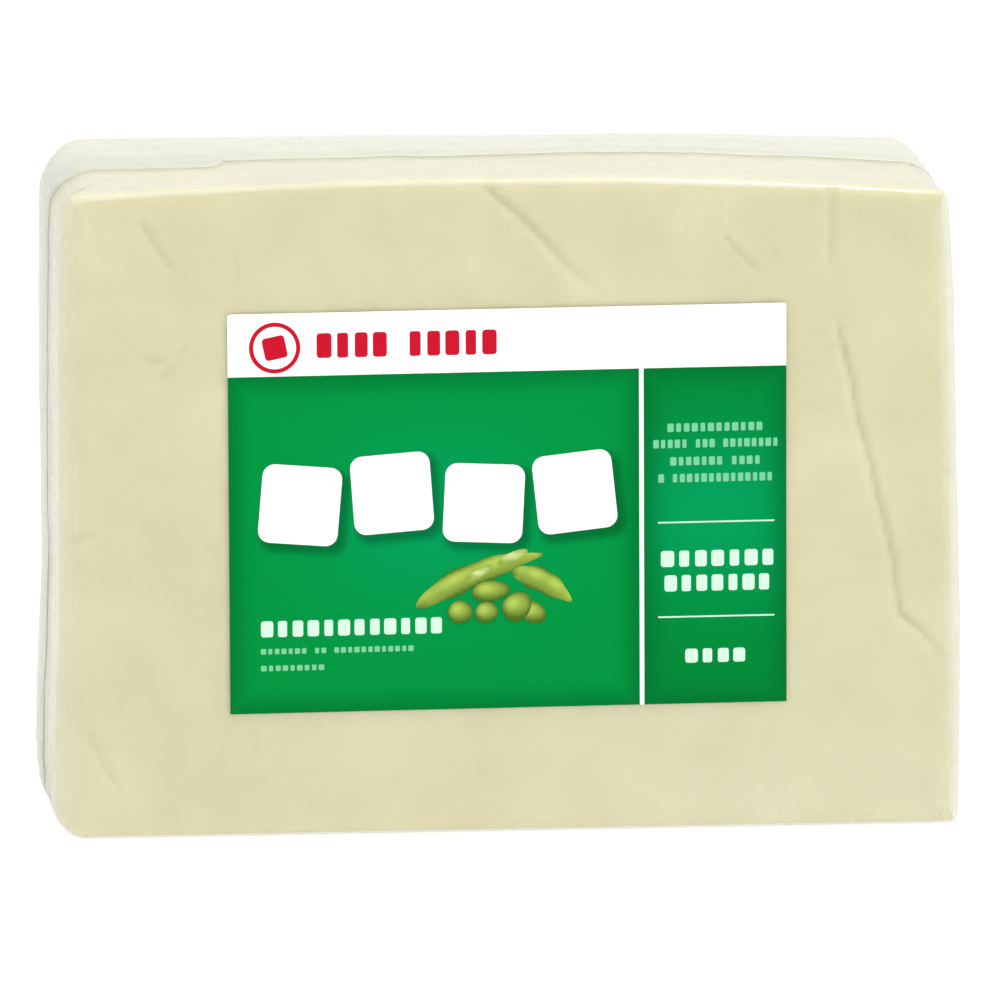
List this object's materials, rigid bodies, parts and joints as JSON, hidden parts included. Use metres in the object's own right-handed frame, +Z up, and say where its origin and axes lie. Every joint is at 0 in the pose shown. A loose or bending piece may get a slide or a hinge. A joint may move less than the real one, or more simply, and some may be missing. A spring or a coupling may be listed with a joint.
{
  "type": "block of tofu sealed in a clear vacuum pouch with a label",
  "caption": "Oblong block of cream tofu, vacuum-sealed in clear film with its sealed rim folded back, and a flat green and white label on the front.",
  "frame": {"origin": "middle of the footprint, on the surface the pack stands on", "axes": "+Z up, +X along the pack's width to the right as its label is read, and the label faces -Y"},
  "size_m": [0.13, 0.0436, 0.0932],
  "materials": {
    "film": "clear soft film, glossy, drawn tight over cream tofu",
    "tofu": "moist cream bean curd, finely pitted, slightly see-through at the edges",
    "label": "satin printed sticker, green panels under a white band"
  },
  "bodies": {
    "root": {"pouch": "film", "label": "label"}
  },
  "joints": []
}
